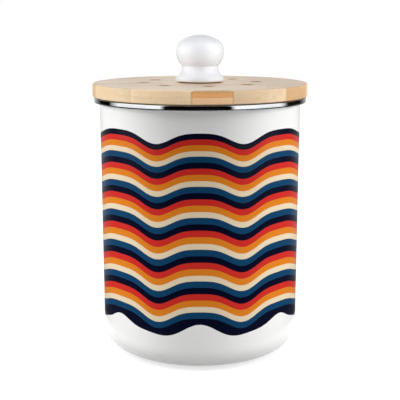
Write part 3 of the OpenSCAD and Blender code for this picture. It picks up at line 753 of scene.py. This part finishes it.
def newGeometryTree(name, values):
    # An empty tree with one named input for each value
    tree = bpy.data.node_groups.new(name, "GeometryNodeTree")
    tree.interface.new_socket("Geometry", in_out="INPUT", socket_type="NodeSocketGeometry")
    tree.interface.new_socket("Geometry", in_out="OUTPUT", socket_type="NodeSocketGeometry")
    for key, value in values.items():
        kind = ("NodeSocketMaterial" if isinstance(value, bpy.types.Material) else
                "NodeSocketInt" if isinstance(value, int) else "NodeSocketFloat")
        tree.interface.new_socket(key, in_out="INPUT", socket_type=kind)
    return tree, node(tree, "NodeGroupInput").outputs


def roundBar(tree, line, sides, radius, inputs):
    # A round bar along a curve
    section = node(tree, "GeometryNodeCurvePrimitiveCircle", {"Resolution": sides, "Radius": radius})
    return node(tree, "GeometryNodeCurveToMesh", {"Curve": line, "Profile Curve": section, **inputs})


def placeCopies(tree, points, shape, inputs):
    # A copy of a shape at each point, as geometry of its own
    placed = node(tree, "GeometryNodeInstanceOnPoints", {"Points": points, "Instance": shape, **inputs})
    return node(tree, "GeometryNodeRealizeInstances", {0: placed})


def bakeTree(piece, tree, given, shape, values):
    # Ends the tree with the piece's material, runs it on the piece and keeps the result
    # as its plain mesh
    painted = node(tree, "GeometryNodeSetMaterial", {"Geometry": shape, "Material": given["Material"]})
    node(tree, "NodeGroupOutput", {0: painted})
    modifier = piece.modifiers.new(tree.name, "NODES")
    modifier.node_group = tree
    for item in tree.interface.items_tree:
        if item.in_out == "INPUT" and item.name in values:
            modifier[item.identifier] = values[item.name]
    bpy.context.view_layer.update()
    graph = bpy.context.evaluated_depsgraph_get()
    made = bpy.data.meshes.new_from_object(piece.evaluated_get(graph))
    piece.modifiers.clear()
    piece.data = made


# Charcoal felt pad

feltPad = {
    "inset": 0.35 * mm, "edgeRound": 2.4 * mm,
    "segments": 168, "rings": 30, "edgeSteps": 6,
    "swell": 0.22 * mm, "swellSize": 16 * mm,
    "dimpleDepth": 0.18 * mm, "dimpleSize": 3.4 * mm, "dimpleShift": (7, 3, 1),
    # how far the edge wanders in, how finely round it and up it, and how fast that fades
    # towards the middle
    "edgeWander": 0.45 * mm, "wanderTurn": 9, "wanderHeight": 6 * mm, "wanderFade": 8,
    "fibresPerSquareMetre": 95000.0, "fibreLength": 5.5 * mm, "fibreRadius": 0.055 * mm,
    # height of a fibre's arch, its bend to one side as a share of its length, its steps
    # and sides, and the smallest and largest scale
    "fibreLift": 0.16 * mm, "fibreCurl": 0.22, "fibreSteps": 5, "fibreSides": 3,
    "fibreScale": (0.45, 1.25), "seed": 11,
}


def feltOutline(radius, halfHeight):
    # The pad's section: out along the top, round the edge and back along the underside
    edge, rings, steps = feltPad["edgeRound"], feltPad["rings"], feltPad["edgeSteps"]
    outline = [((radius - edge) * i / rings, halfHeight) for i in range(1, rings + 1)]
    for i in range(1, steps):
        a = math.pi / 2 * i / steps
        outline.append((radius - edge + edge * math.sin(a), halfHeight - edge + edge * math.cos(a)))
    outline += [(radius, halfHeight - edge), (radius, 0.0)]
    return outline + [(r, -z) for r, z in reversed(outline[:-1])]


def buildFeltBody(low, high):
    # A disc with rounded, slightly uneven edges and shallow needle marks
    values = feltPad
    middle = (low + high) / 2
    halfHeight = (high.z - low.z) / 2 - values["inset"]
    radius = (high.x - low.x) / 2 - values["inset"]

    def onCircle(r, z, a):
        return Vector((r * math.cos(a), r * math.sin(a), z))

    def shaped(r, z, a):
        spot = onCircle(r, z, a)
        edgeSpot = onCircle(values["wanderTurn"], z / values["wanderHeight"], a)
        wander = noise.noise(edgeSpot) * values["edgeWander"]
        slow = noise.noise(spot / values["swellSize"]) * values["swell"]
        dimple = abs(noise.noise(spot / values["dimpleSize"] + Vector(values["dimpleShift"])))
        outward = r - abs(wander) * min(1.0, r / radius) ** values["wanderFade"]
        lift = (slow - values["swell"] / 2 - dimple * values["dimpleDepth"]) * (z / halfHeight)
        return middle + onCircle(outward, z + lift, a)

    bm = bmesh.new()
    steps = values["segments"]
    poles = [bm.verts.new(shaped(0, halfHeight, 0)), bm.verts.new(shaped(0, -halfHeight, 0))]
    rings = [[bm.verts.new(shaped(r, z, math.tau * i / steps)) for i in range(steps)]
             for r, z in feltOutline(radius, halfHeight)]
    for i in range(steps):
        j = (i + 1) % steps
        bm.faces.new((poles[0], rings[0][i], rings[0][j]))
        bm.faces.new((poles[1], rings[-1][j], rings[-1][i]))
        for upper, lower in zip(rings[:-1], rings[1:]):
            bm.faces.new((upper[i], lower[i], lower[j], upper[j]))
    mesh = bpy.data.meshes.new("feltPad")
    bm.to_mesh(mesh)
    bm.free()
    mesh.shade_smooth()
    return mesh


def curledFibre(tree, given):
    # One fibre, arched along X with its ends in the felt. The curve goes half way to its
    # middle point, so that point is twice as high
    back, half, curl, twice = [
        node(tree, "ShaderNodeMath", {0: given[name], 1: share}, operation="MULTIPLY")
        for name, share in (("Length", -0.5), ("Length", 0.5), ("Length", given["Curl"]), ("Lift", 2.0))]
    start = node(tree, "ShaderNodeCombineXYZ", {"X": back})
    end = node(tree, "ShaderNodeCombineXYZ", {"X": half})
    top = node(tree, "ShaderNodeCombineXYZ", {"Y": curl, "Z": twice})
    line = node(tree, "GeometryNodeCurveQuadraticBezier", {"Resolution": feltPad["fibreSteps"],
                "Start": start, "Middle": top, "End": end})
    return roundBar(tree, line, feltPad["fibreSides"], given["Radius"], {})


def buildFeltPad():
    values = feltPad
    material = makeFelt()
    pad = addObject("charcoalFelt", buildFeltBody(*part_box("charcoal_pad")), material)
    sizes = {"Density": values["fibresPerSquareMetre"], "Length": values["fibreLength"],
             "Radius": values["fibreRadius"], "Lift": values["fibreLift"],
             "Curl": values["fibreCurl"], "Seed": values["seed"], "Material": material}
    tree, given = newGeometryTree("looseFibres", sizes)
    spots = node(tree, "GeometryNodeDistributePointsOnFaces", {"Mesh": given["Geometry"],
                 "Density": given["Density"], "Seed": given["Seed"]})
    spin = node(tree, "FunctionNodeRandomValue", {"Min": (0.0, 0.0, 0.0), "Max": (0.0, 0.0, math.tau),
                "Seed": given["Seed"]}, data_type="FLOAT_VECTOR")
    turned = node(tree, "FunctionNodeRotateRotation", {"Rotation": spots.outputs["Rotation"],
                  "Rotate By": spin}, rotation_space="LOCAL")
    scale = node(tree, "FunctionNodeRandomValue", {2: values["fibreScale"][0],
                 3: values["fibreScale"][1], "Seed": given["Seed"]}, data_type="FLOAT")
    fibres = placeCopies(tree, spots, curledFibre(tree, given), {"Rotation": turned, "Scale": scale})
    joined = node(tree, "GeometryNodeJoinGeometry", {0: given["Geometry"]})
    tree.links.new(fibres.outputs[0], joined.inputs[0])
    bakeTree(pad, tree, given, joined, sizes)
    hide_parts("charcoal_pad")
    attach(pad, "lid")
    print("felt pad:", len(pad.data.polygons), "faces")


buildFeltPad()


# Ribs on the cover's finger grip

gripRibs = {
    "count": 21, "spacing": 2.4 * mm, "radius": 0.62 * mm, "bottomGap": 0.9 * mm,
    "topGap": 1.1 * mm, "sunk": 0.2 * mm, "halfThickness": 2.0 * mm, "height": 7.0 * mm,
    # steps along a rib and sides round it, how blunt its ends are, and their radius as a
    # share of the rib's
    "steps": 13, "sides": 10, "bluntness": 6.0, "tip": 0.05,
}


def gripRib(tree, given):
    # One rib: an upright line that swells out of nothing and back
    bottom = node(tree, "ShaderNodeCombineXYZ", {"Z": given["Low"]})
    top = node(tree, "ShaderNodeCombineXYZ", {"Z": given["High"]})
    line = node(tree, "GeometryNodeCurvePrimitiveLine", {"Start": bottom, "End": top})
    line = node(tree, "GeometryNodeResampleCurve", {"Curve": line, "Count": gripRibs["steps"]})
    along = node(tree, "GeometryNodeSplineParameter").outputs["Factor"]
    centred = node(tree, "ShaderNodeMath", {0: along, 1: 2.0, 2: -1.0}, operation="MULTIPLY_ADD")
    power = node(tree, "ShaderNodeMath", {0: centred, 1: gripRibs["bluntness"]}, operation="POWER")
    left = node(tree, "ShaderNodeMath", {0: 1.0, 1: power}, operation="SUBTRACT")
    root = node(tree, "ShaderNodeMath", {0: left}, operation="SQRT")
    swollen = node(tree, "ShaderNodeMath", {0: root, 1: gripRibs["tip"]}, operation="MAXIMUM")
    return roundBar(tree, line, gripRibs["sides"], given["Radius"], {"Scale": swollen, "Fill Caps": True})


def buildGripRibs():
    values = gripRibs
    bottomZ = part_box("filter_cover")[0].z
    low = bottomZ + values["bottomGap"]
    high = bottomZ + values["height"] - values["topGap"]
    sizes = {"Count": values["count"], "Spacing": values["spacing"], "Radius": values["radius"],
             "Low": low, "High": high, "Side": values["halfThickness"] - values["sunk"],
             "Material": finishes["filter_cover"]}
    tree, given = newGeometryTree("gripRibs", sizes)
    # a row of ribs, centred on the axis, then one row on each side
    gap = node(tree, "ShaderNodeCombineXYZ", {"X": given["Spacing"]})
    spans = node(tree, "ShaderNodeMath", {0: given["Count"], 1: -1.0}, operation="ADD")
    reach = node(tree, "ShaderNodeMath", {0: spans, 1: given["Spacing"]}, operation="MULTIPLY")
    begin = node(tree, "ShaderNodeMath", {0: reach, 1: -0.5}, operation="MULTIPLY")
    first = node(tree, "ShaderNodeCombineXYZ", {"X": begin})
    row = node(tree, "GeometryNodeMeshLine", {"Count": given["Count"], "Start Location": first,
               "Offset": gap})
    solid = placeCopies(tree, row, gripRib(tree, given), {})
    sides = node(tree, "GeometryNodeJoinGeometry")
    for sign in (-1.0, 1.0):
        offset = node(tree, "ShaderNodeMath", {0: given["Side"], 1: sign}, operation="MULTIPLY")
        shift = node(tree, "ShaderNodeCombineXYZ", {"Y": offset})
        moved = node(tree, "GeometryNodeTransform", {"Geometry": solid, "Translation": shift})
        tree.links.new(moved.outputs[0], sides.inputs[0])
    smooth = node(tree, "GeometryNodeSetShadeSmooth", {0: sides})
    ribs = addObject("gripRibs", bpy.data.meshes.new("gripRibs"))
    bakeTree(ribs, tree, given, smooth, sizes)
    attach(ribs, "cover")
    print("grip ribs:", values["count"] * 2)


buildGripRibs()


# Suction pips in the base pad's grooves

padPips = {
    "grooveMiddles": (12.575 * mm, 24.35 * mm, 36.125 * mm), "ringSides": 96,
    "spacing": 2.6 * mm, "radius": 0.55 * mm, "height": 0.42 * mm, "rootZ": 0.62 * mm,
    "segments": 10, "rings": 6,
}


def buildPadPips():
    values = padPips
    sizes = {"Spacing": values["spacing"], "Radius": values["radius"], "Height": values["height"],
             "Root": values["rootZ"], "Material": finishes["base_pad"]}
    tree, given = newGeometryTree("padPips", sizes)
    # one pip: a small dome that points down
    ball = node(tree, "GeometryNodeMeshUVSphere", {"Segments": values["segments"],
                "Rings": values["rings"], "Radius": 1.0})
    size = node(tree, "ShaderNodeCombineXYZ", {"X": given["Radius"], "Y": given["Radius"],
                "Z": given["Height"]})
    lift = node(tree, "ShaderNodeCombineXYZ", {"Z": given["Root"]})
    pip = node(tree, "GeometryNodeTransform", {"Geometry": ball, "Translation": lift, "Scale": size})
    rings = node(tree, "GeometryNodeJoinGeometry")
    for radius in values["grooveMiddles"]:
        circle = node(tree, "GeometryNodeCurvePrimitiveCircle", {"Resolution": values["ringSides"],
                      "Radius": radius})
        spaced = node(tree, "GeometryNodeCurveToPoints", {"Curve": circle,
                      "Length": given["Spacing"]}, mode="LENGTH")
        tree.links.new(spaced.outputs["Points"], rings.inputs[0])
    solid = placeCopies(tree, rings, pip, {})
    smooth = node(tree, "GeometryNodeSetShadeSmooth", {0: solid})
    pips = addObject("padPips", bpy.data.meshes.new("padPips"))
    bakeTree(pips, tree, given, smooth, sizes)
    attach(pips, "canister")
    print("pad pips:", len(pips.data.polygons), "faces")


buildPadPips()
